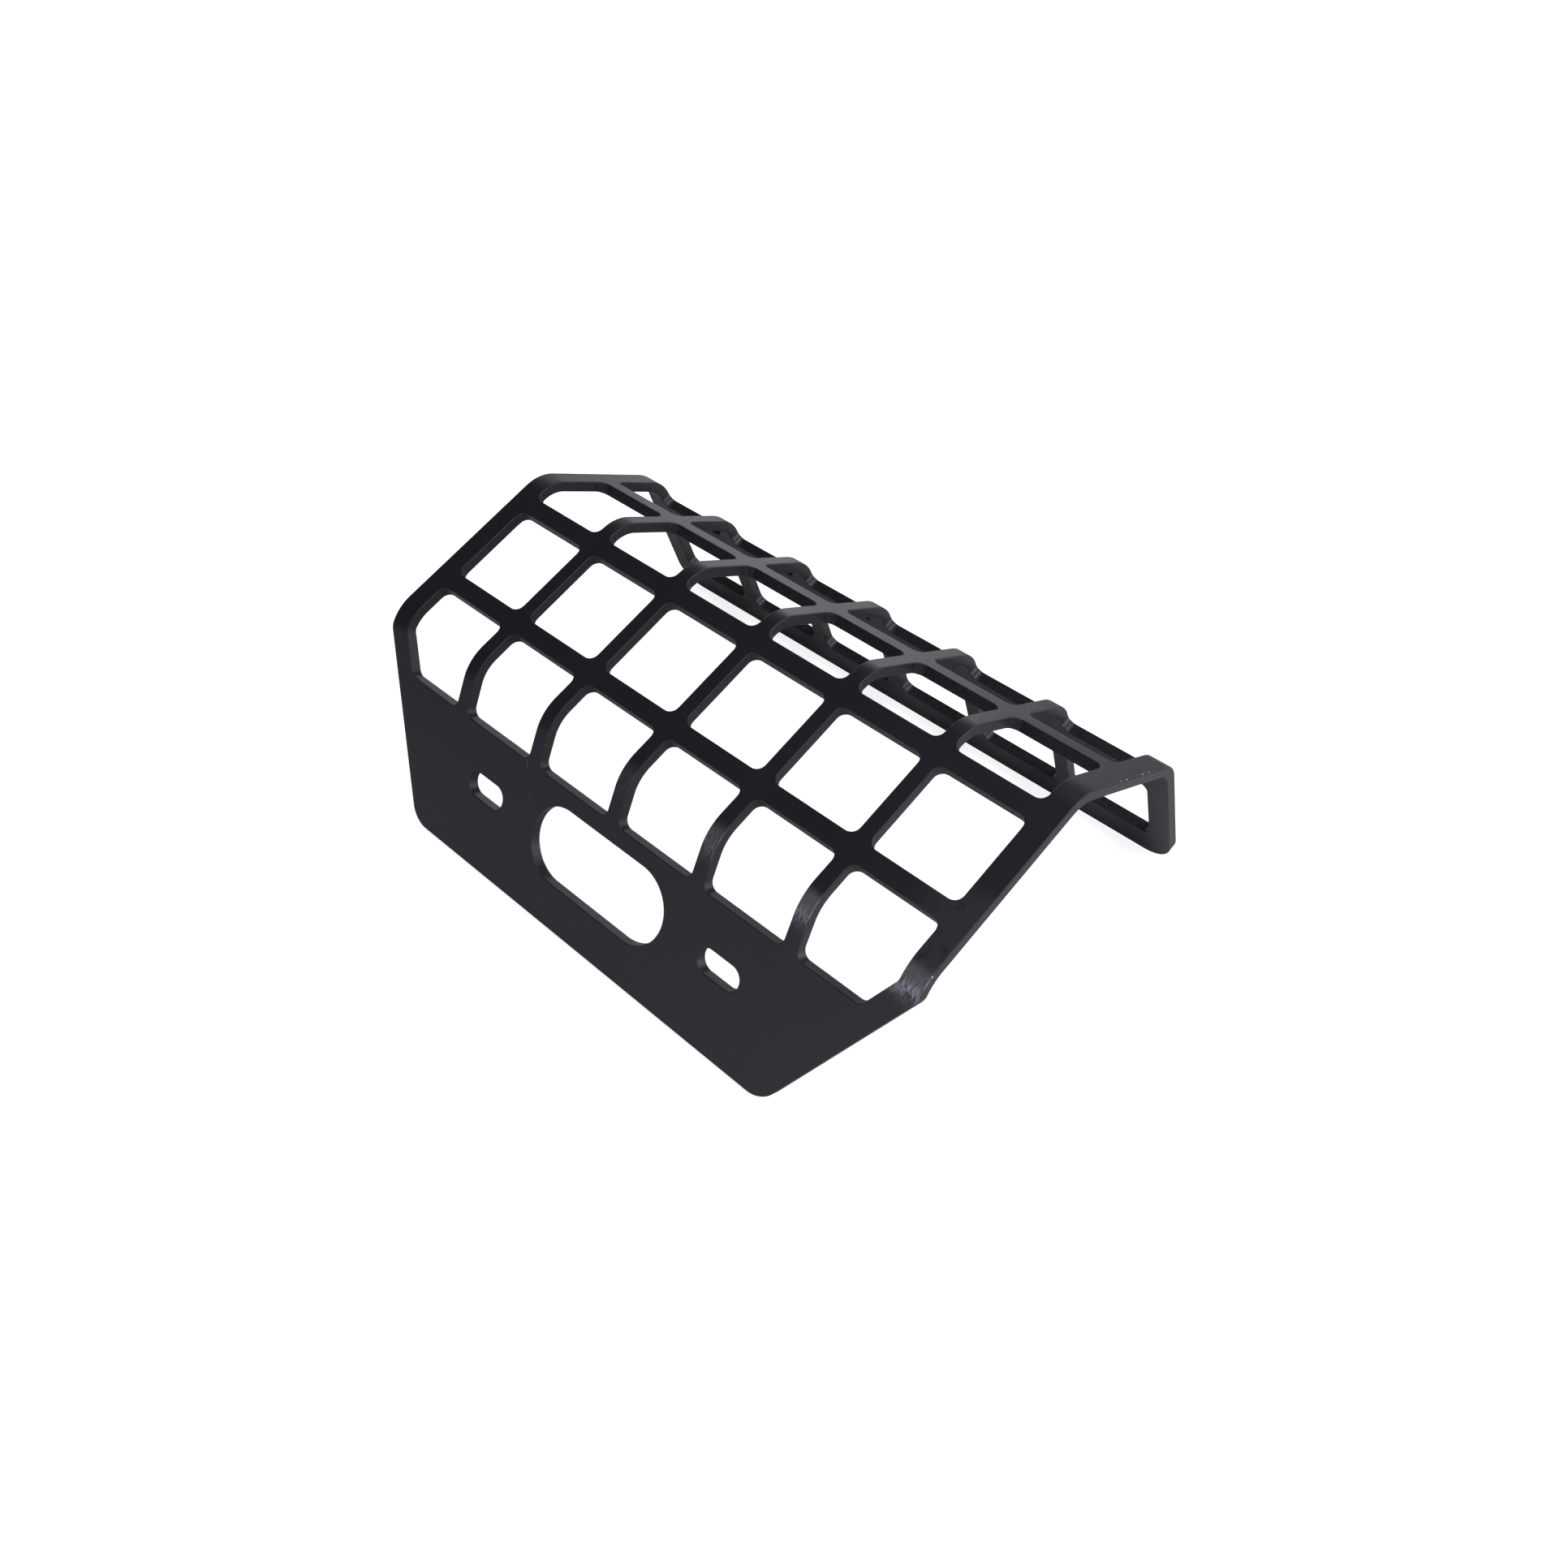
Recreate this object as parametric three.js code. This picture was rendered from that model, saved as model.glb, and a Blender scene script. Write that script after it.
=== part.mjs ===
// A headache rack: one plate, cut to a grid of openings and folded three times.
//
// The plate is described by its outer face. Seen from the side, the face is a chain of four flats
// with a round fold between each two: the mounting plate, the front grid, the top grid and the rear
// grid. The bars of the plate are separate meshes, which meet face to face. Each upright bar runs
// over all the folds, and carries the round corners of the openings beside it. The cross rails
// between the upright bars are straight, and lie in the flats.
//
// Millimetres. +X is to the right, +Y is to the rear and +Z is up. The rack stands on the lower
// edges of its mounting plate and its rear bar, and the origin is the centre of its footprint.
import * as THREE from 'three';

// Driving dimensions of the plate.
const THICKNESS = 4.5;
const COLUMNS = 6;
const OPENING_WIDTH = 36.4;
const RIB_WIDTH = 6.1;
const END_RIB_WIDTH = 9;
const RAIL_HEIGHT = 7.6;
const OPENING_CORNER = 3.5;

// The folds. A flat's length is measured on the outer face, between the sharp lines where the
// flats would meet without the folds' rounding.
const FOLD_ANGLE = THREE.MathUtils.degToRad(45);
const FOLD_RADIUS = 18;
const PLATE_LENGTH = 74.4;
const FRONT_LENGTH = 80.8;
const TOP_LENGTH = 66.5;
const REAR_LENGTH = 66.9;

// Lower edges of the rails, from the start of their flat.
const FRONT_LOWER_RAIL = 18.9;
const FRONT_UPPER_RAIL = 63;
const TOP_RAIL = 29.1;
const REAR_RAIL = 10.2;
const REAR_BAR = 53.1;

// The mounting plate, measured down from the sharp line of the first fold.
const PLATE_TOP = 20.4;
const TAPER_START = 7.3;
const TAPER_ANGLE = THREE.MathUtils.degToRad(30);
const TAPER_ROUNDING = 6;
const HOLE_LINE = 42.5;
const PLATE_CORNER = 10.6;
const REAR_BAR_CORNER = 11.8;

// The line opening in the middle, and a bolt slot on each side of it.
const LINE_OPENING = { length: 68.6, height: 30.5 };
const BOLT_SLOT = { length: 19.2, height: 9.7 };
const SLOT_SPACING = 124;

// Fineness of the round stretches.
const FOLD_STEPS = 12;
const CORNER_STEPS = 4;
const ARC_STEPS = 8;

// A satin black coat.
const COAT = { color: 0x2c2b2e, roughness: 0.55, metalness: 0.25 };

const PITCH = OPENING_WIDTH + RIB_WIDTH;
const OPENINGS_WIDTH = COLUMNS * PITCH - RIB_WIDTH;
const HALF_WIDTH = OPENINGS_WIDTH / 2 + END_RIB_WIDTH;
const RAIL_LENGTH = OPENING_WIDTH - 2 * OPENING_CORNER;
const QUARTER_TURN = Math.PI / 2;

// --- The side profile of the outer face -------------------------------------------------------

// Each flat starts at a sharp line and heads a fold further over than the last one.
const flats = [];
{
  let y = 0;
  let z = 0;
  [PLATE_LENGTH, FRONT_LENGTH, TOP_LENGTH, REAR_LENGTH].forEach((length, index) => {
    const heading = QUARTER_TURN - index * FOLD_ANGLE;
    flats.push({ y, z, heading, length });
    y += length * Math.cos(heading);
    z += length * Math.sin(heading);
  });
}
const [plateFlat, frontFlat, topFlat, rearFlat] = flats;

// A place on the face is its distance from the plate's lower edge along the unfolded face. A fold
// takes a setback from the flats on both sides of it, and puts its own arc there.
const SETBACK = FOLD_RADIUS * Math.tan(FOLD_ANGLE / 2);
const FOLD_ARC = FOLD_RADIUS * FOLD_ANGLE;
const folds = [];
{
  let from = 0;
  flats.forEach((flat, index) => {
    flat.unfoldedStart = index > 0 ? from - SETBACK : from;
    from = flat.unfoldedStart + flat.length - SETBACK;
    if (index < flats.length - 1) folds.push({ from, to: from + FOLD_ARC, flat });
    from += FOLD_ARC;
  });
}
const unfolded = (flat, distance) => flat.unfoldedStart + distance;

function flatPoint(flat, distance) {
  return {
    y: flat.y + distance * Math.cos(flat.heading),
    z: flat.z + distance * Math.sin(flat.heading),
    heading: flat.heading,
  };
}

function foldPoint({ from, flat }, place) {
  const start = flatPoint(flat, from - flat.unfoldedStart);
  const heading = flat.heading - (place - from) / FOLD_RADIUS;
  return {
    y: start.y + FOLD_RADIUS * (Math.sin(flat.heading) - Math.sin(heading)),
    z: start.z + FOLD_RADIUS * (Math.cos(heading) - Math.cos(flat.heading)),
    heading,
  };
}

// Point and heading of the outer face at a place.
function outerPoint(place) {
  const fold = folds.find(({ from, to }) => place > from && place < to);
  if (fold) return foldPoint(fold, place);
  const passed = folds.filter(({ to }) => place >= to).length;
  return flatPoint(flats[passed], place - flats[passed].unfoldedStart);
}

// The point of the inner face under it.
function innerPoint(place) {
  const { y, z, heading } = outerPoint(place);
  return { y: y + THICKNESS * Math.sin(heading), z: z - THICKNESS * Math.cos(heading) };
}

// --- Openings and edges on the unfolded face --------------------------------------------------

const plateTop = unfolded(plateFlat, PLATE_LENGTH - PLATE_TOP);
const rearBarTop = unfolded(rearFlat, REAR_BAR);
const rails = [
  { name: 'front_lower_rail', flat: frontFlat, distance: FRONT_LOWER_RAIL },
  { name: 'front_upper_rail', flat: frontFlat, distance: FRONT_UPPER_RAIL },
  { name: 'top_rail', flat: topFlat, distance: TOP_RAIL },
  { name: 'rear_rail', flat: rearFlat, distance: REAR_RAIL },
];
const railStarts = rails.map(({ flat, distance }) => unfolded(flat, distance));
const openingRows = [plateTop, ...railStarts.map((start) => start + RAIL_HEIGHT)]
  .map((from, row) => ({ from, to: railStarts[row] ?? rearBarTop }));

// How far the plate reaches into an opening from the opening's side edge: the whole corner beside a
// rail, the round corner next to it, and nothing further on. The side may lean outwards.
function cornerReach(place, lean = 0) {
  const row = openingRows.find(({ from, to }) => place >= from && place <= to);
  if (!row) return OPENING_CORNER;
  const height = Math.min(place - row.from, row.to - place);
  if (height >= OPENING_CORNER * (1 - Math.sin(lean))) return 0;
  const sharpCorner = height * Math.tan(lean) + OPENING_CORNER * Math.tan((QUARTER_TURN - lean) / 2);
  return sharpCorner - Math.sqrt(OPENING_CORNER ** 2 - (OPENING_CORNER - height) ** 2);
}

// How far the plate's side has drawn in, as the plate narrows below the first fold. A small
// rounding leads from the straight side into the taper.
const taperFoot = PLATE_LENGTH - TAPER_START;
const roundingTop = taperFoot + TAPER_ROUNDING * Math.tan(TAPER_ANGLE / 2);
const roundingHeight = TAPER_ROUNDING * Math.sin(TAPER_ANGLE);
function taperInset(place) {
  const below = roundingTop - place;
  if (below <= 0) return 0;
  if (below < roundingHeight) return TAPER_ROUNDING - Math.sqrt(TAPER_ROUNDING ** 2 - below ** 2);
  return (taperFoot - place) * Math.tan(TAPER_ANGLE);
}

// The end bars narrow with the plate, and keep their width measured square to their edges.
const outerEdge = (place) => HALF_WIDTH - taperInset(place);
function innerEdge(place) {
  const straight = HALF_WIDTH - END_RIB_WIDTH;
  const taperLine = HALF_WIDTH - (taperFoot - place) * Math.tan(TAPER_ANGLE);
  const tapered = taperLine - END_RIB_WIDTH / Math.cos(TAPER_ANGLE);
  if (tapered < straight) return tapered - cornerReach(place, TAPER_ANGLE);
  return straight - cornerReach(place);
}

// --- Upright bars -----------------------------------------------------------------------------

// Places where a bar's section changes: the taper's start and the facets of folds and corners.
function barPlaces() {
  const found = [taperFoot + END_RIB_WIDTH * Math.tan(TAPER_ANGLE / 2)];
  for (let step = 0; step <= CORNER_STEPS; step++) {
    found.push(roundingTop - roundingHeight * (step / CORNER_STEPS));
  }
  folds.forEach(({ from }) => {
    for (let step = 0; step <= FOLD_STEPS; step++) found.push(from + FOLD_ARC * (step / FOLD_STEPS));
  });
  openingRows.forEach(({ from, to }) => {
    for (let step = 0; step <= CORNER_STEPS; step++) {
      const height = OPENING_CORNER * (1 - Math.cos((step / CORNER_STEPS) * QUARTER_TURN));
      found.push(from + height, to - height);
    }
  });
  return found.sort((a, b) => a - b);
}
const places = barPlaces();

// A bar as a closed solid through the four corners of its section at every place.
function barGeometry(leftEdge, rightEdge) {
  const positions = [];
  places.forEach((place) => {
    const outer = outerPoint(place);
    const inner = innerPoint(place);
    const left = leftEdge(place);
    const right = rightEdge(place);
    positions.push(left, outer.y, outer.z, right, outer.y, outer.z);
    positions.push(right, inner.y, inner.z, left, inner.y, inner.z);
  });
  const indices = [];
  const quad = (a, b, c, d) => indices.push(a, b, c, a, c, d);
  quad(0, 3, 2, 1);
  for (let section = 0; section < places.length - 1; section++) {
    const base = 4 * section;
    for (let corner = 0; corner < 4; corner++) {
      const next = (corner + 1) % 4;
      quad(base + corner, base + next, base + 4 + next, base + 4 + corner);
    }
  }
  const last = 4 * (places.length - 1);
  quad(last, last + 1, last + 2, last + 3);
  const geometry = new THREE.BufferGeometry();
  geometry.setAttribute('position', new THREE.Float32BufferAttribute(positions, 3));
  geometry.setIndex(indices);
  geometry.computeVertexNormals();
  return geometry;
}

// --- Flat pieces ------------------------------------------------------------------------------

function extruded(shape) {
  const options = { depth: THICKNESS, bevelEnabled: false, curveSegments: ARC_STEPS };
  return new THREE.ExtrudeGeometry(shape, options).translate(0, 0, -THICKNESS);
}

function obround({ length, height }, x, y) {
  const radius = height / 2;
  const reach = length / 2 - radius;
  const path = new THREE.Path();
  path.absarc(x + reach, y, radius, -QUARTER_TURN, QUARTER_TURN);
  path.absarc(x - reach, y, radius, QUARTER_TURN, 3 * QUARTER_TURN);
  path.closePath();
  return path;
}

// An outline with a straight top edge and two round lower corners. The sides lean outwards by
// lean from the lower edge up.
function roundFooted(halfTop, height, lean, corner) {
  const halfFoot = halfTop - height * Math.tan(lean);
  const centre = halfFoot - corner * Math.tan((QUARTER_TURN - lean) / 2);
  const shape = new THREE.Shape();
  shape.absarc(-centre, corner, corner, Math.PI + lean, 3 * QUARTER_TURN);
  shape.absarc(centre, corner, corner, -QUARTER_TURN, -lean);
  shape.lineTo(halfTop, height);
  shape.lineTo(-halfTop, height);
  shape.closePath();
  return shape;
}

function mountingPlateGeometry() {
  const shape = roundFooted(outerEdge(plateTop), plateTop, TAPER_ANGLE, PLATE_CORNER);
  const holeLine = PLATE_LENGTH - HOLE_LINE;
  shape.holes.push(obround(LINE_OPENING, 0, holeLine));
  shape.holes.push(obround(BOLT_SLOT, -SLOT_SPACING / 2, holeLine));
  shape.holes.push(obround(BOLT_SLOT, SLOT_SPACING / 2, holeLine));
  return extruded(shape);
}

function rearBarGeometry() {
  const shape = roundFooted(HALF_WIDTH, REAR_LENGTH - REAR_BAR, 0, REAR_BAR_CORNER);
  return extruded(shape).rotateZ(Math.PI).translate(0, REAR_LENGTH, 0);
}

// --- The rack ---------------------------------------------------------------------------------

const rack = new THREE.Group();

// A group for each flat, with +Y along the flat and +Z out of its outer face.
const flatGroups = new Map(flats.map((flat) => {
  const group = new THREE.Group();
  group.position.set(0, flat.y, flat.z);
  group.rotation.x = flat.heading;
  rack.add(group);
  return [flat, group];
}));

function addPiece(parent, name, geometry) {
  const mesh = new THREE.Mesh(geometry, new THREE.MeshStandardMaterial(COAT));
  mesh.name = name;
  parent.add(mesh);
  return mesh;
}

addPiece(flatGroups.get(plateFlat), 'mounting_plate', mountingPlateGeometry());
addPiece(flatGroups.get(rearFlat), 'rear_bar', rearBarGeometry());

rails.forEach(({ name, flat, distance }) => {
  for (let column = 0; column < COLUMNS; column++) {
    const box = new THREE.BoxGeometry(RAIL_LENGTH, RAIL_HEIGHT, THICKNESS);
    const rail = addPiece(flatGroups.get(flat), `${name}_${column + 1}`, box);
    const x = (column - (COLUMNS - 1) / 2) * PITCH;
    rail.position.set(x, distance + RAIL_HEIGHT / 2, -THICKNESS / 2);
  }
});

for (let rib = 1; rib < COLUMNS; rib++) {
  const middle = (rib - COLUMNS / 2) * PITCH;
  const half = (place) => RIB_WIDTH / 2 + cornerReach(place);
  const geometry = barGeometry((place) => middle - half(place), (place) => middle + half(place));
  addPiece(rack, `rib_${rib}`, geometry);
}
addPiece(rack, 'end_rib_left', barGeometry((p) => -outerEdge(p), (p) => -innerEdge(p)));
addPiece(rack, 'end_rib_right', barGeometry(innerEdge, outerEdge));

// --- Standing on its two feet -----------------------------------------------------------------

const plateFoot = innerPoint(0);
const rearFoot = innerPoint(unfolded(rearFlat, REAR_LENGTH));
rack.rotation.x = -Math.atan2(rearFoot.z - plateFoot.z, rearFoot.y - plateFoot.y);

const standing = new THREE.Group();
standing.add(rack);
const bounds = new THREE.Box3().setFromObject(standing, true);
rack.position.y = -(bounds.min.y + bounds.max.y) / 2;
rack.position.z = -bounds.min.z;

export default standing;
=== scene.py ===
# %% [markdown]
# # A headache rack, from flat blank to finished plate
# The real rack is one steel plate: it is cut flat, folded three times on a press brake and coated
# black. It could be built from thirty-three bars, as its collision solids are, but their joints
# would show as seams. So one piece is made here the way the shop makes it: blank, openings, rounded
# edges, folds. First comes the frame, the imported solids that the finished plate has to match.

# %% The frame
import math

import bmesh
import bpy
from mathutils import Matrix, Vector
from mathutils.bvhtree import BVHTree


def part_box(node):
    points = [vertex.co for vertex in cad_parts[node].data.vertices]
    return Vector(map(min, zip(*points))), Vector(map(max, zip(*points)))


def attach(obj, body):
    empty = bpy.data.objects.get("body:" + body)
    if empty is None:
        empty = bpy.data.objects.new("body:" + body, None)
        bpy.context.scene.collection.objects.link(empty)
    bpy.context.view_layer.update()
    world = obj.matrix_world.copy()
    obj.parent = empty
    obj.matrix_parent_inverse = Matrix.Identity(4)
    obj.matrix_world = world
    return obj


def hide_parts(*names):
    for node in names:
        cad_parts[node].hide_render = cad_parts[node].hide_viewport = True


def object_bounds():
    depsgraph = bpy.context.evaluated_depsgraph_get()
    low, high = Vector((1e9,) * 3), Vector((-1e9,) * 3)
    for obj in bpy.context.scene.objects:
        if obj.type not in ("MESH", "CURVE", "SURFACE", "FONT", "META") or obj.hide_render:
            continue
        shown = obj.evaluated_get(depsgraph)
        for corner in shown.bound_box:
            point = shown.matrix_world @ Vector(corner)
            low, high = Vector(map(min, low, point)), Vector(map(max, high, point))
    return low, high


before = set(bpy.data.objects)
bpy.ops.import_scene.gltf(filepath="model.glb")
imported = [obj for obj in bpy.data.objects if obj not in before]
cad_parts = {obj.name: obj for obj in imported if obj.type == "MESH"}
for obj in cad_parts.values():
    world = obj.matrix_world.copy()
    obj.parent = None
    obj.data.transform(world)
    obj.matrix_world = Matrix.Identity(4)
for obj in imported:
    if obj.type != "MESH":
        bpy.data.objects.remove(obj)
cad_low, cad_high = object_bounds()
print("solids' box:", [round(v * 1000, 1) for v in (*cad_low, *cad_high)], "mm")

# %% [markdown]
# ## The drawing
# A sheet-metal shop works from a flat drawing: x is across the plate, and a *place* is the distance
# from the plate's lower edge, measured along the unfolded outer face. A fold of 45 degrees takes a
# setback from the flat on each side of it and puts its own arc there. The lines after the sizes
# turn the folded lengths into places on the flat blank.

# %% The drawing's sizes
MM = 0.001
THICKNESS = 4.5 * MM
COLUMNS = 6
OPENING_WIDTH = 36.4 * MM
RIB_WIDTH = 6.1 * MM
END_RIB_WIDTH = 9 * MM
RAIL_HEIGHT = 7.6 * MM
OPENING_CORNER = 3.5 * MM
KINK_ROUNDING = 1.2 * MM
FOLD_ANGLE = math.radians(45)
FOLD_RADIUS = 18 * MM
FOLD_STEPS = 12
FLAT_LENGTHS = [74.4 * MM, 80.8 * MM, 66.5 * MM, 66.9 * MM]  # from one sharp fold line to the next
FRONT_LOWER_RAIL = 18.9 * MM  # each rail from its own flat's lower fold line
FRONT_UPPER_RAIL = 63 * MM
TOP_RAIL = 29.1 * MM
REAR_RAIL = 10.2 * MM
REAR_BAR = 53.1 * MM
PLATE_TOP = 54 * MM
TAPER_FOOT = 67.1 * MM
TAPER_ANGLE = math.radians(30)
TAPER_ROUNDING = 6 * MM
HOLE_LINE = 31.9 * MM
PLATE_CORNER = 10.6 * MM
REAR_BAR_CORNER = 11.8 * MM
LINE_OPENING = (68.6 * MM, 30.5 * MM)
BOLT_SLOT = (19.2 * MM, 9.7 * MM)
SLOT_SPACING = 124 * MM
EDGE_ROUNDING = 0.35 * MM

# %% Places on the blank
SETBACK = FOLD_RADIUS * math.tan(FOLD_ANGLE / 2)
FOLD_ARC = FOLD_RADIUS * FOLD_ANGLE
flat_starts = [0.0]
for length in FLAT_LENGTHS[:-1]:
    flat_starts.append(flat_starts[-1] + length - 2 * SETBACK + FOLD_ARC)
fold_starts = [start + length - SETBACK for start, length in zip(flat_starts[:-1], FLAT_LENGTHS)]
BLANK_LENGTH = flat_starts[-1] + FLAT_LENGTHS[-1]
PITCH = OPENING_WIDTH + RIB_WIDTH
HALF_WIDTH = COLUMNS * PITCH / 2 - RIB_WIDTH / 2 + END_RIB_WIDTH
rail_places = [
    flat_starts[1] + FRONT_LOWER_RAIL,
    flat_starts[1] + FRONT_UPPER_RAIL,
    flat_starts[2] + TOP_RAIL,
    flat_starts[3] + REAR_RAIL,
]
row_starts = [PLATE_TOP] + [place + RAIL_HEIGHT for place in rail_places]
row_ends = rail_places + [flat_starts[3] + REAR_BAR]
print(f"blank {2 * HALF_WIDTH / MM:.1f} x {BLANK_LENGTH / MM:.1f} mm, folds start at",
      [round(start / MM, 1) for start in fold_starts])

# %% [markdown]
# ## Selecting by place
# An operator works on what is selected, and the importer leaves the solids selected. So everything
# is deselected first, and then corners and edges are picked in code with a test on their place, the
# way a hand would box-select them.

# %% Hands for modelling
def only(piece):
    """Selects one piece, and nothing else."""
    bpy.ops.object.select_all(action="DESELECT")
    piece.select_set(True)
    bpy.context.view_layer.objects.active = piece


def pick(piece, kind, test):
    """In edit mode, selects the VERT or EDGE elements for which the test holds."""
    bpy.ops.mesh.select_mode(type=kind)
    mesh = bmesh.from_edit_mesh(piece.data)
    for face in mesh.faces:
        face.select = False
    for edge in mesh.edges:
        edge.select = False
    for corner in mesh.verts:
        corner.select = False
    elements = mesh.verts if kind == "VERT" else mesh.edges
    for element in elements:
        if test(element):
            element.select = True
    mesh.select_flush_mode()
    bmesh.update_edit_mesh(piece.data)


def upright(edge):
    """Whether an edge runs through the plate's thickness."""
    along = edge.verts[1].co - edge.verts[0].co
    return abs(along.z) > 0.9 * along.length


def prism(name, x_low, x_high, place_low, place_high, z_low, z_high):
    """A block between two corners, which starts every cut shape and the blank itself."""
    middle = ((x_low + x_high) / 2, (place_low + place_high) / 2, (z_low + z_high) / 2)
    size = (x_high - x_low, place_high - place_low, z_high - z_low)
    bpy.ops.object.select_all(action="DESELECT")
    bpy.ops.mesh.primitive_cube_add(size=1, location=middle, scale=size)
    bpy.ops.object.transform_apply(location=True, rotation=True, scale=True)
    piece = bpy.context.active_object
    piece.name = name
    return piece


def round_corners(piece, test, length, segments=8):
    """Rounds the upright edges for which the test holds, starting at a length from the corner."""
    bpy.ops.object.mode_set(mode="EDIT")
    pick(piece, "EDGE", lambda edge: upright(edge) and test(edge.verts[0].co))
    bpy.ops.mesh.bevel(offset=length, segments=segments, profile=0.5, affect="EDGES")
    bpy.ops.object.mode_set(mode="OBJECT")


def tangent(radius, lean=0.0):
    """How far from a corner its rounding starts, where one side leans away by an angle."""
    return radius * math.tan((math.pi / 2 - lean) / 2)

# %% [markdown]
# ## The blank
# The blank is a block of the unfolded plate's size. Below the first fold its sides draw in at 30
# degrees, which two bisecting cuts take off, one on each side. Then the upright edges are beveled
# round: the two lower corners, the two shoulders where the taper starts, and the far corners, which
# end up at the rear bar. The outer face lies at height 0 and the inner face under it.

# %% The tapered blank
def trim(piece, corner, outward):
    """Cuts away what lies beyond a line on the blank, and closes the cut."""
    bpy.ops.object.mode_set(mode="EDIT")
    bpy.ops.mesh.select_all(action="SELECT")
    bpy.ops.mesh.bisect(plane_co=corner, plane_no=outward, use_fill=True, clear_outer=True)
    bpy.ops.object.mode_set(mode="OBJECT")


def taper_normal(side):
    return (side * math.cos(TAPER_ANGLE), -math.sin(TAPER_ANGLE), 0)


only(next(iter(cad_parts.values())))
plate = prism("rack_plate", -HALF_WIDTH, HALF_WIDTH, 0, BLANK_LENGTH, -THICKNESS, 0)
for side in (-1, 1):
    trim(plate, (side * HALF_WIDTH, TAPER_FOOT, 0), taper_normal(side))
round_corners(plate, lambda at: at.y < 1 * MM, tangent(PLATE_CORNER, TAPER_ANGLE), 16)
shoulder = TAPER_ROUNDING * math.tan(TAPER_ANGLE / 2)
round_corners(plate, lambda at: abs(at.y - TAPER_FOOT) < 1 * MM, shoulder)
round_corners(plate, lambda at: at.y > BLANK_LENGTH - 1 * MM, tangent(REAR_BAR_CORNER), 16)
print("blank:", len(plate.data.vertices), "corners")

# %% [markdown]
# ## The openings
# A laser cuts thirty openings, in five rows of six, with round corners, and three obrounds in the
# plate below them. Each cut shape is a prism that stands through the blank. The end columns of the
# first row lose a corner to the taper, so that the end ribs keep their width. An obround starts as
# a cylinder whose two halves are pulled apart. All the cutters are joined, and one Boolean cuts
# them out together.

# %% Cutters for the grid
REACH = 2 * MM


def along_taper(cutter, side, middle, start, end):
    """Cuts an end opening along the taper, and rounds each corner to suit its own angle."""
    inset = END_RIB_WIDTH / math.cos(TAPER_ANGLE)
    trim(cutter, (side * (HALF_WIDTH - inset), TAPER_FOOT, 0), taper_normal(side))

    def leaning(at):
        return side * (at.x - middle) > 0 and at.y < start + 1 * MM

    def kink(at):
        return side * (at.x - middle) > 0 and start + 3 * MM < at.y < end - 1 * MM

    def square(at):
        return at.y > end - 0.01 * MM or side * (at.x - middle) < -10 * MM

    round_corners(cutter, leaning, tangent(OPENING_CORNER, TAPER_ANGLE))
    round_corners(cutter, kink, KINK_ROUNDING, 4)
    round_corners(cutter, square, tangent(OPENING_CORNER))


cutters = []
for row, (start, end) in enumerate(zip(row_starts, row_ends)):
    for column in range(COLUMNS):
        middle = (column - (COLUMNS - 1) / 2) * PITCH
        left, right = middle - OPENING_WIDTH / 2, middle + OPENING_WIDTH / 2
        cutter = prism("cutter", left, right, start, end, -THICKNESS - REACH, REACH)
        if row == 0 and column in (0, COLUMNS - 1):
            along_taper(cutter, 1 if column else -1, middle, start, end)
        else:
            round_corners(cutter, lambda at: True, tangent(OPENING_CORNER))
        cutters.append(cutter)
print(len(cutters), "openings in the grid")

# %% Cutters for the obrounds
def obround(length, height, x):
    """A cylinder through the plate, with its two halves pulled apart."""
    step = 2 * math.pi / 64
    bpy.ops.object.select_all(action="DESELECT")
    bpy.ops.mesh.primitive_cylinder_add(
        vertices=64, radius=height / 2, depth=THICKNESS + 2 * REACH,
        location=(x, HOLE_LINE, -THICKNESS / 2), rotation=(0, 0, step / 2))
    bpy.ops.object.transform_apply(location=True, rotation=True, scale=True)
    piece = bpy.context.active_object
    bpy.ops.object.mode_set(mode="EDIT")
    pull = (length - height) / 2
    for side in (-1, 1):
        pick(piece, "VERT", lambda corner: side * (corner.co.x - x) > 0.01 * MM)
        bpy.ops.transform.translate(value=(side * pull, 0, 0))
    bpy.ops.object.mode_set(mode="OBJECT")
    return piece


cutters.append(obround(*LINE_OPENING, 0))
cutters.append(obround(*BOLT_SLOT, -SLOT_SPACING / 2))
cutters.append(obround(*BOLT_SLOT, SLOT_SPACING / 2))

# %% Cutting
bpy.ops.object.select_all(action="DESELECT")
for cutter in cutters:
    cutter.select_set(True)
bpy.context.view_layer.objects.active = cutters[0]
bpy.ops.object.join()
cutter = bpy.context.active_object

only(plate)
cut = plate.modifiers.new("openings", "BOOLEAN")
cut.operation = "DIFFERENCE"
cut.solver = "MANIFOLD"
cut.object = cutter
bpy.ops.object.modifier_apply(modifier=cut.name)
bpy.data.objects.remove(cutter)
print("cut plate:", len(plate.data.vertices), "corners,", len(plate.data.polygons), "faces")

# %% [markdown]
# ## The edges
# The cut edges are broken before coating, and the coat rounds them a little more. That thin round
# edge catches the light all round the grid. It is beveled now, while the plate is flat, because
# every cut edge then meets both faces squarely.

# %% Rounded edges
rounding = plate.modifiers.new("rounding", "BEVEL")
rounding.width = EDGE_ROUNDING
rounding.segments = 3
rounding.limit_method = "ANGLE"
rounding.angle_limit = math.radians(45)
rounding.use_clamp_overlap = False
only(plate)
bpy.ops.object.modifier_apply(modifier=rounding.name)
print("rounded plate:", len(plate.data.vertices), "corners")
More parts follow.
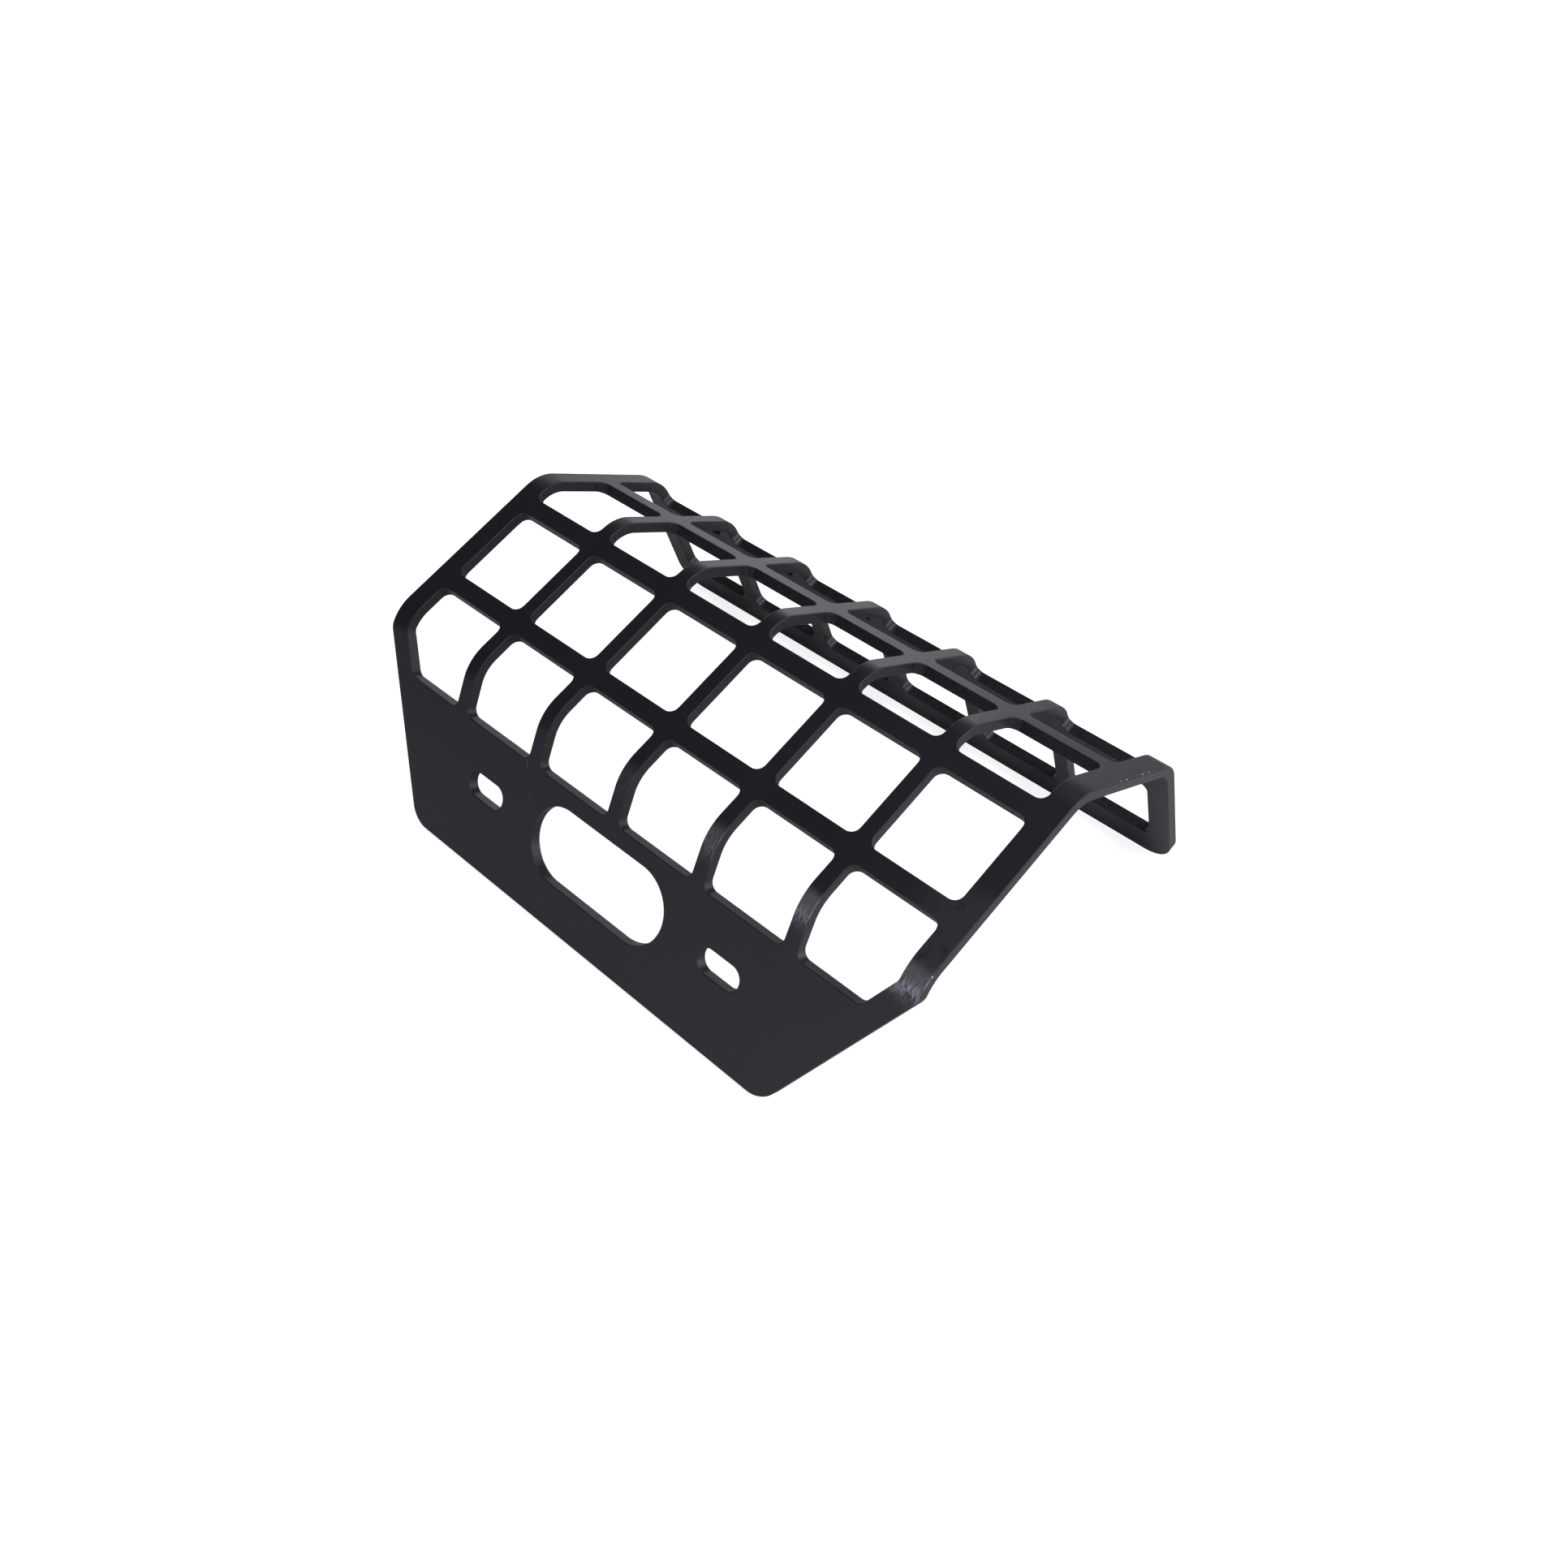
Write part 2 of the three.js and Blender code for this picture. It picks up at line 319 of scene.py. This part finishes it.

# %% [markdown]
# ## Fold lines
# A plate can only bend where it has rows of corners. Bisecting the whole mesh square to x, at
# thirteen lines a fold, puts them there. Before the folding, every corner's place on the flat
# blank is written down in an attribute, in millimetres: later the coat's grain, the marks of the
# cutting and the wear of the fold with its painted highlight are all drawn in these flat places, so
# they follow the metal.

# %% Fold lines across the blank
fold_lines = [start + FOLD_ARC * step / FOLD_STEPS
              for start in fold_starts for step in range(FOLD_STEPS + 1)]
bpy.ops.object.mode_set(mode="EDIT")
for line in fold_lines:
    bpy.ops.mesh.select_all(action="SELECT")
    bpy.ops.mesh.bisect(plane_co=(0, line, 0), plane_no=(0, 1, 0), use_fill=False)
bpy.ops.mesh.select_all(action="SELECT")
bpy.ops.mesh.remove_doubles(threshold=0.002 * MM)
bpy.ops.mesh.normals_make_consistent(inside=False)
bpy.ops.object.mode_set(mode="OBJECT")

flat_place = plate.data.attributes.new("flat_place", "FLOAT_VECTOR", "POINT")
for corner, stored in zip(plate.data.vertices, flat_place.data):
    stored.vector = corner.co / MM
print("plate with fold lines:", len(plate.data.vertices), "corners")

# %% [markdown]
# ## The folds
# A press brake bends a plate over a round tool. Here each fold is twelve small turns about lines on
# the outer face. At each line, everything beyond it turns, and the corners on the line itself turn
# by half as much, so that the thickness stays even. The farthest line goes first, because
# the plate on the near side of it is then still flat, and the line is where the drawing says. The
# first and last line of a fold take half a turn, which puts every corner on the true arc.

# %% Folding
def turn(angle, line, test):
    """Turns the corners whose flat place passes a test, down about a line on the outer face."""
    mesh = bmesh.from_edit_mesh(plate.data)
    stored = mesh.verts.layers.float_vector["flat_place"]
    pick(plate, "VERT", lambda corner: test(corner[stored].y * MM))
    bpy.ops.transform.rotate(value=angle, orient_axis="X", center_override=(0, line, 0))


only(plate)
bpy.ops.object.mode_set(mode="EDIT")
NEAR = 0.001 * MM
for start in reversed(fold_starts):
    for step in range(FOLD_STEPS, -1, -1):
        line = start + FOLD_ARC * step / FOLD_STEPS
        angle = FOLD_ANGLE / FOLD_STEPS
        if step in (0, FOLD_STEPS):
            angle = angle / 2
        turn(angle, line, lambda place: place > line + NEAR)
        turn(angle / 2, line, lambda place: abs(place - line) <= NEAR)
bpy.ops.object.mode_set(mode="OBJECT")

# %% [markdown]
# ## Standing it up
# The rack stands on the lower edges of its plate and its rear bar. The turn that puts both on the
# floor follows from the chain of flats: the angle between the two inner lower edges. The plate's
# own solid in the frame then says where it stands.

# %% On its two feet
y, z = 0.0, 0.0
for index, length in enumerate(FLAT_LENGTHS):
    y += length * math.cos(index * FOLD_ANGLE)
    z -= length * math.sin(index * FOLD_ANGLE)
last = (len(FLAT_LENGTHS) - 1) * FOLD_ANGLE
rear_foot = Vector((y - THICKNESS * math.sin(last), z - THICKNESS * math.cos(last)))
plate_foot = Vector((0.0, -THICKNESS))
between = rear_foot - plate_foot
lean = -math.atan2(between.y, between.x)

plate_low, plate_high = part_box("mounting_plate")
bpy.ops.object.mode_set(mode="EDIT")
bpy.ops.mesh.select_all(action="SELECT")
bpy.ops.transform.rotate(value=-lean, orient_axis="X", center_override=(0, 0, 0))
lift = plate_low.z + THICKNESS * math.cos(lean)
bpy.ops.transform.translate(value=(0, plate_low.y, lift))
bpy.ops.mesh.normals_make_consistent(inside=False)
bpy.ops.object.mode_set(mode="OBJECT")
print(f"the plate leans {math.degrees(lean):.2f} degrees")

# %% [markdown]
# ## Smooth folds, flat flats
# The folds and round corners are shaded smooth by angle. Smooth shading alone would also bend the
# light on the big flats near their rounded edges, so normals are weighted by face area: a flat then
# keeps its own normal right up to the thin rounding, as a real plate does.

# %% Shading
only(plate)
bpy.ops.object.shade_smooth_by_angle(angle=math.radians(40))
weighted = plate.modifiers.new("even flats", "WEIGHTED_NORMAL")
weighted.mode = "FACE_AREA"
weighted.keep_sharp = True
weighted.weight = 100
bpy.ops.object.modifier_apply(modifier=weighted.name)

# %% Measuring the finished plate against the solids
measured = bmesh.new()
measured.from_mesh(plate.data)
open_edges = sum(1 for edge in measured.edges if len(edge.link_faces) != 2)
surface = BVHTree.FromBMesh(measured)
furthest = 0.0
for name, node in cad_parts.items():
    for corner in node.data.vertices:
        furthest = max(furthest, surface.find_nearest(corner.co)[3])
print(f"{open_edges} open edges, {measured.calc_volume() / MM**3:.0f} mm3, "
      f"solids' corners at most {furthest / MM:.2f} mm from the plate's surface")
measured.free()

# %% [markdown]
# ## Node maths in plain sums
# The coat is a procedural material: its colour, shine and bumps are sums of noises and masks. A
# small class wraps a socket, so that a sum on sockets adds its own Math nodes, and one method adds
# any other node.

# %% A socket that can be reckoned with
class Socket:
    """A socket in a finish's node tree."""

    def __init__(self, tree, end):
        self.tree = tree
        self.end = end

    def node(self, kind, settings=None, output=0, **inputs):
        """Adds a node, sets it, feeds its sockets and gives one of its outputs."""
        made = self.tree.nodes.new(kind)
        for key, value in (settings or {}).items():
            setattr(made, key, value)
        for key, value in inputs.items():
            which = int(key[1:]) if key[1:].isdigit() else key.replace("_", " ")
            socket = made.inputs[which]
            if isinstance(value, Socket):
                self.tree.links.new(value.end, socket)
            else:
                socket.default_value = value
        return Socket(self.tree, made.outputs[output])

    def maths(self, operation, *values):
        return self.node("ShaderNodeMath", {"operation": operation},
                         **{f"i{i}": value for i, value in enumerate(values)})

    def __add__(self, other): return self.maths("ADD", self, other)
    def __radd__(self, other): return self.maths("ADD", other, self)
    def __sub__(self, other): return self.maths("SUBTRACT", self, other)
    def __rsub__(self, other): return self.maths("SUBTRACT", other, self)
    def __mul__(self, other): return self.maths("MULTIPLY", self, other)
    def __rmul__(self, other): return self.maths("MULTIPLY", other, self)
    def __abs__(self): return self.maths("ABSOLUTE", self)
    def most(self, other): return self.maths("MAXIMUM", self, other)

    def rise(self, low, high):
        """0 below low and 1 above high, smooth between them. It falls if low is above high."""
        return self.node("ShaderNodeMapRange", {"interpolation_type": "SMOOTHSTEP"},
                         i0=self, i1=low, i2=high)

    def band(self, middle, half, soft):
        """1 in a band about a middle, and 0 outside it."""
        return abs(self - middle).rise(half + soft, half)

    def noise(self, scale, detail, roughness, stretch=(1, 1, 1)):
        """Noise over a place, in waves of about 1/scale of a millimetre, stretched by axis."""
        at = self.node("ShaderNodeVectorMath", {"operation": "MULTIPLY"}, i0=self, i1=stretch)
        return at.node("ShaderNodeTexNoise", Vector=at, Scale=scale, Detail=detail,
                       Roughness=roughness)

    def tinted(self, red, green, blue):
        """This brightness as a colour, with a little more or less of each primary."""
        return self.node("ShaderNodeCombineColor", i0=self * red, i1=self * green, i2=self * blue)

    def blend(self, low, high):
        """A colour between two, with this as the mask."""
        return self.node("ShaderNodeMix", {"data_type": "RGBA"}, 2, i0=self, i6=low, i7=high)


def finish_for(name):
    """A new empty material, its shader and a socket to start sums from."""
    material = bpy.data.materials.new(name)
    material.use_nodes = True
    tree = material.node_tree
    shader = next(node for node in tree.nodes if node.type == "BSDF_PRINCIPLED")
    return material, shader, Socket(tree, shader.outputs[0])


def feed(shader, **inputs):
    """Feeds the shader's sockets with sockets or plain values."""
    for key, value in inputs.items():
        socket = shader.inputs[key.replace("_", " ")]
        if isinstance(value, Socket):
            value.tree.links.new(value.end, socket)
        else:
            socket.default_value = value

# %% [markdown]
# ## The black coat
# The coat is a thin satin black over steel. Close up it has a fine grain, and the laser's cut walls
# show through it as short marks along the thickness. On the outside of the lowest fold the bending
# tool has burnished it, in fine streaks that run round the fold. That band is also a painted
# highlight: it sits where the lamps on the right catch the fold and grows brighter towards the
# right end. The flat place of every corner carries all of this: x, the place, and the depth, which
# is 0 on the outer face. Everything is in millimetres on the blank, so a scratch is placed as on
# the drawing.

# %% Where on the plate, and noises on it
coat, coat_shader, start = finish_for("satin_black_coat")
at = start.node("ShaderNodeAttribute", {"attribute_name": "flat_place"}, "Vector")
x, place, depth = (at.node("ShaderNodeSeparateXYZ", None, axis, Vector=at) for axis in "XYZ")
edge = EDGE_ROUNDING / MM
outer_face = depth.rise(-edge, -0.05)
wall = depth.band(-THICKNESS / MM / 2, THICKNESS / MM / 2 - edge - 0.1, 0.15)

grain = at.noise(3.0, 3, 0.65)
flecks = at.noise(1.1, 4, 0.7)
cloud = at.noise(0.035, 3, 0.5)
cut_lines = at.noise(2.6, 4, 0.7, (1, 1, 0.3))

# %% Burnished streaks and a painted highlight on the lowest fold
streaks = at.noise(1.9, 4, 0.7, (1, 0.13, 1))
# The band's place, 0.41 into the fold, and its rise towards the right end follow where the lamps'
# highlight falls: it is partly burnish and partly painted highlight.
fold_middle = (fold_starts[0] + 0.41 * FOLD_ARC) / MM
ragged = place + (streaks - 0.5) * 11
below = ragged.rise(fold_middle - 12, fold_middle)
above = ragged.rise(fold_middle + 7.5, fold_middle + 1)
burnish_and_highlight = below * above * outer_face * x.rise(-60, 100) * (0.3 + 0.7 * streaks.rise(0.32, 0.6))

# %% [markdown]
# ## Marks of use
# A scratch is a thin line between two places, a chip is a short piece of one on an edge, and a
# scuff is a dark patch broken up by noise. They are few: three scratches on the mounting plate, a
# nick below a bolt slot, chips and a dark line along the right end rib's outer edge, and scuffs
# beside its foot.

# %% Scratches, chips and scuffs
def scratch(first, second, half_width):
    """A mask along a straight line between two places on the outer face."""
    (x1, p1), (x2, p2) = first, second
    length = math.hypot(x2 - x1, p2 - p1)
    ux, up = (x2 - x1) / length, (p2 - p1) / length
    along = (x - x1) * ux + (place - p1) * up
    across = (x - x1) * up - (place - p1) * ux
    ends = along.band(length / 2, length / 2 - 0.2, 0.6)
    return abs(across).rise(half_width, half_width * 0.4) * ends * outer_face


scratches = scratch((-41.6, 43.9), (-39.1, 39.5), 0.22) * 0.35
scratches = scratches.most(scratch((-46.0, 54.0), (-44.6, 51.8), 0.25))
scratches = scratches.most(scratch((-20.9, 52.2), (-19.4, 51.6), 0.3) * 0.3)
nick = scratch((68.6, 20.9), (71.0, 20.1), 0.3)

end_edge = x.rise(HALF_WIDTH / MM - 0.5, HALF_WIDTH / MM - 0.25)
chips = None
for middle, half in ((76.5, 0.2), (178.5, 0.1), (182.7, 0.25), (195.0, 0.2), (199.8, 0.1)):
    chip = place.band(middle, half, 0.3)
    chips = chip if chips is None else chips.most(chip)
chips = chips * end_edge * depth.rise(-0.5, -0.3)
# A darker line along the right end rib's outer edge, on its rounding.
dark_rim_line = place.band(183, 29, 3) * end_edge * depth.band(-0.45, 0.2, 0.12)

scuffed = x.rise(108, 122) * place.band(90, 12, 10) * outer_face
scuffs = scuffed * at.noise(0.28, 5, 0.72, (1, 0.7, 1)).rise(0.5, 0.66)

# %% The coat's colour, shine and bumps
black = 0.0140 + cloud * 0.004 + (grain - 0.5) * 0.014 + (flecks - 0.5) * 0.008
black = black + wall * (cut_lines - 0.53) * 0.08 + scuffed * 0.018
black = (black * (1 - 0.85 * scuffs.most(nick).most(dark_rim_line))).most(0.001)
coated = black.tinted(1.02, 0.97, 1.16)
# The fold band's light metal colour is partly burnished coat and partly painted highlight; the
# scratches and chips are real wear.
wear_and_highlight = scratches.most(burnish_and_highlight).most(chips)
bright = 0.10 + burnish_and_highlight * 0.38 + chips * 0.4
metal_and_highlight = bright.tinted(1.0, 0.99, 1.02)
colour = wear_and_highlight.blend(coated, metal_and_highlight)

rough = 0.42 + (grain - 0.5) * 0.18 + (cloud - 0.5) * 0.10 + wall * (cut_lines - 0.5) * 0.4
rough = rough - burnish_and_highlight * 0.10 + scuffs * 0.25 + chips * 0.2 + dark_rim_line * 0.3
steel = (burnish_and_highlight * 0.9).most(chips * 0.3)

height = grain * 0.006 + flecks * 0.004 + wall * cut_lines * 0.025 + burnish_and_highlight * streaks * 0.05
height = (height - (scratches.most(nick)) * 0.05) * MM
bump = height.node("ShaderNodeBump", Height=height, Strength=1.0, Distance=1.0)
feed(coat_shader, Base_Color=colour, Roughness=rough, Normal=bump, Metallic=steel, IOR=1.5)
plate.data.materials.clear()
plate.data.materials.append(coat)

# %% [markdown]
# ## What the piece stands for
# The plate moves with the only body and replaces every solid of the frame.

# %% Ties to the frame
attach(plate, "root")
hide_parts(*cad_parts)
print("the plate stands for", len(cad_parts), "solids")

# %% [markdown]
# ## Floor and light
# The rack stands on a plain white floor. A black satin plate shows hardly any colour of its own:
# what it shows is the light that it reflects, so each flat is lit by the panel that its mirror
# direction meets. Low panels behind light the top grid, a cooler pair in front lights the mounting
# plate, one high on the right lights the end walls, and hardly any light stands where the front
# grid mirrors it, so it stays the darkest. The floor and the studio's wall glow towards the camera
# only, so that they look white and still light the plate no more than a pale floor does.

# %% The floor
bpy.ops.object.select_all(action="DESELECT")
bpy.ops.mesh.primitive_plane_add(size=40, location=(0, 0, cad_low.z - 0.02 * MM))
floor = bpy.context.active_object
floor.name = "floor"
pale, pale_shader, pale_start = finish_for("pale_floor")
seen = pale_start.node("ShaderNodeLightPath", None, "Is Camera Ray")
feed(pale_shader, Base_Color=(0.85, 0.85, 0.85, 1), Roughness=0.9)
feed(pale_shader, Emission_Color=seen, Emission_Strength=0.8)
floor.data.materials.append(pale)

# %% The lights
NEUTRAL = (1.0, 0.975, 1.03)
COOL = (1.0, 0.975, 1.2)
LAMP_DISTANCE = 2.2


def panel(name, azimuth, elevation, power, size=0.8, colour=NEUTRAL):
    """A square soft panel, by its angle round from +X and above the floor in degrees."""
    a, e = math.radians(azimuth), math.radians(elevation)
    towards = Vector((math.cos(a) * math.cos(e), math.sin(a) * math.cos(e), math.sin(e)))
    data = bpy.data.lights.new(name, "AREA")
    data.shape = "SQUARE"
    data.size = size
    data.energy = power
    data.color = colour
    lamp = bpy.data.objects.new(name, data)
    bpy.context.scene.collection.objects.link(lamp)
    lamp.location = towards * LAMP_DISTANCE
    lamp.rotation_euler = towards.to_track_quat("Z", "Y").to_euler()


panel("back right", 60, 10, 8)
panel("right", 30, 10, 13)
panel("above right", 0, 62, 15.5, 0.7)
panel("above back", 90, 62, 3.5, 0.7)
panel("front", 270, 10, 5, colour=COOL)
panel("front right", 315, 36, 6.5, colour=COOL)
panel("above front", 300, 62, 3.5, 0.7)
panel("back left", 150, 10, 5)
panel("back", 120, 10, 4.4)

# %% The studio behind them
world = bpy.data.worlds.new("studio")
world.use_nodes = True
background = world.node_tree.nodes["Background"]
world_start = Socket(world.node_tree, background.outputs[0])
seen = world_start.node("ShaderNodeLightPath", None, "Is Camera Ray")
feed(background, Color=(1, 1, 1, 1), Strength=0.01 + 0.95 * seen)
bpy.context.scene.world = world
bpy.context.scene.view_settings.view_transform = "Standard"

# %% [markdown]
# ## The camera
# The view is from the front right and above, from about 0.6 m, through a lens of ordinary length.

# %% The camera
view = bpy.data.cameras.new("view")
view.sensor_width = 36
view.lens = 35.12
view.shift_x = 0.0254
view.shift_y = -0.0258
view.clip_start = 0.01
camera = bpy.data.objects.new("camera", view)
camera.location = (0.2987, -0.3007, 0.4370)
camera.rotation_euler = [math.radians(angle) for angle in (46.836, 1.005, 44.299)]
bpy.context.scene.collection.objects.link(camera)
bpy.context.scene.camera = camera
